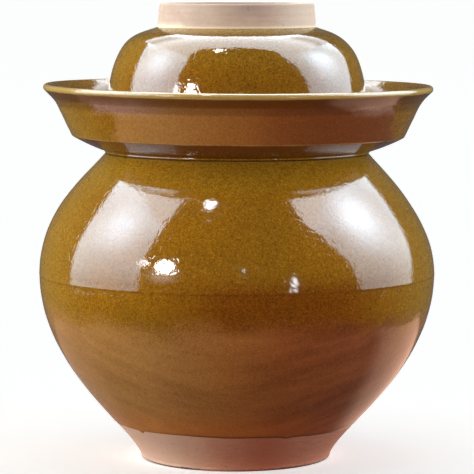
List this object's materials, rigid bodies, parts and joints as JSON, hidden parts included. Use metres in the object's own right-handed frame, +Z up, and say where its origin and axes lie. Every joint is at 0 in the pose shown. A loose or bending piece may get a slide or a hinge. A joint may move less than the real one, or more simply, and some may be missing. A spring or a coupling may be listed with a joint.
{
  "type": "fermentation crock",
  "caption": "Round-bellied amber-glazed stoneware crock with a flared water-seal moat round the neck, an upturned-bowl lid standing in it and a knobbed inner lid.",
  "frame": {"origin": "centre of the foot's underside, on the floor", "axes": "+Z up along the axis the crock is thrown about; the picture looks along +Y"},
  "size_m": [0.25, 0.25, 0.2878],
  "materials": {
    "amber_glaze": "glossy transparent amber-brown glaze with fine specks",
    "bare_clay": "matt unglazed buff stoneware"
  },
  "bodies": {
    "crock": {"lower_body": "amber_glaze", "upper_body": "amber_glaze", "neck_collar": "amber_glaze", "water_moat": "amber_glaze"},
    "outer_lid": {"lid_bowl": "amber_glaze", "lid_foot_ring": "bare_clay"},
    "inner_lid": {"inner_lid_plate": "amber_glaze", "inner_lid_knob": "amber_glaze"}
  },
  "joints": [
    {"name": "outer_lid_lift", "type": "slide", "parent": "crock", "child": "outer_lid", "axis": [0, 0, 1], "range_m": [0, 0.16]},
    {"name": "inner_lid_lift", "type": "slide", "parent": "crock", "child": "inner_lid", "axis": [0, 0, 1], "range_m": [0, 0.064]}
  ],
  "couplings": [
    {"joint": "inner_lid_lift", "follows": "outer_lid_lift", "ratio": 0.4}
  ]
}
